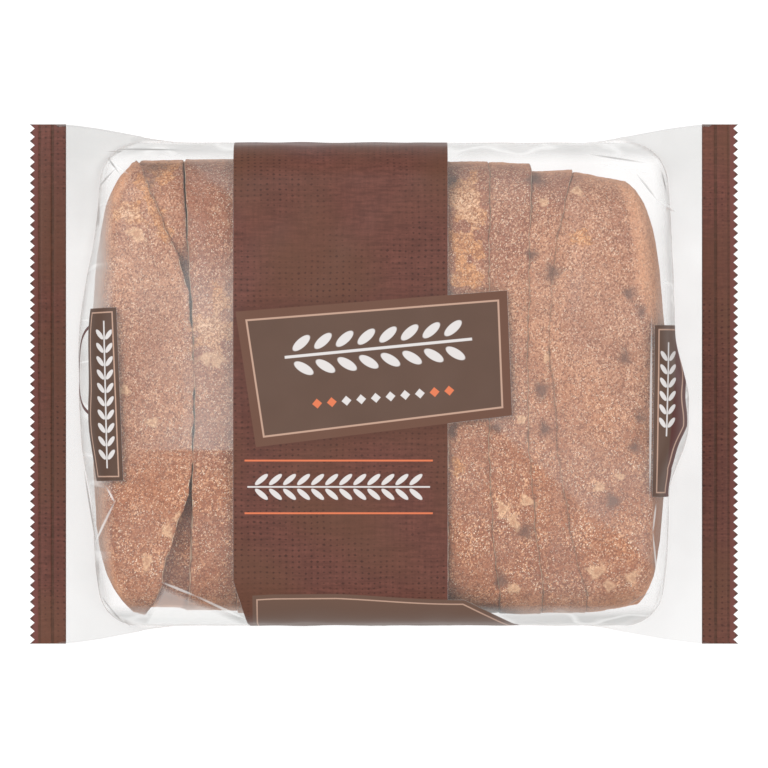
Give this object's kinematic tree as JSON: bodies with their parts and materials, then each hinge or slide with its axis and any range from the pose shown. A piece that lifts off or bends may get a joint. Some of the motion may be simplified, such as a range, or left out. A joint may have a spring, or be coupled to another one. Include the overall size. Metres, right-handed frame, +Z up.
{
  "type": "sliced loaf in a bread bag",
  "caption": "Sliced pan loaf sealed in a clear flow-wrapped bag with a printed band, tucked corners and a flat toothed fin at each end, lying flat.",
  "frame": {"origin": "middle of the flat underside", "axes": "+X along the loaf and the bag's length, +Y across its width, +Z up out of the shown face"},
  "size_m": [0.2054, 0.1506, 0.078],
  "materials": {
    "clear_film": "clear glossy film",
    "printed_film": "brown printed film, satin",
    "crust": "baked tan crust, dull",
    "crumb": "soft pale crumb, dull"
  },
  "bodies": {
    "root": {"filled_bag": "clear_film"}
  },
  "joints": []
}
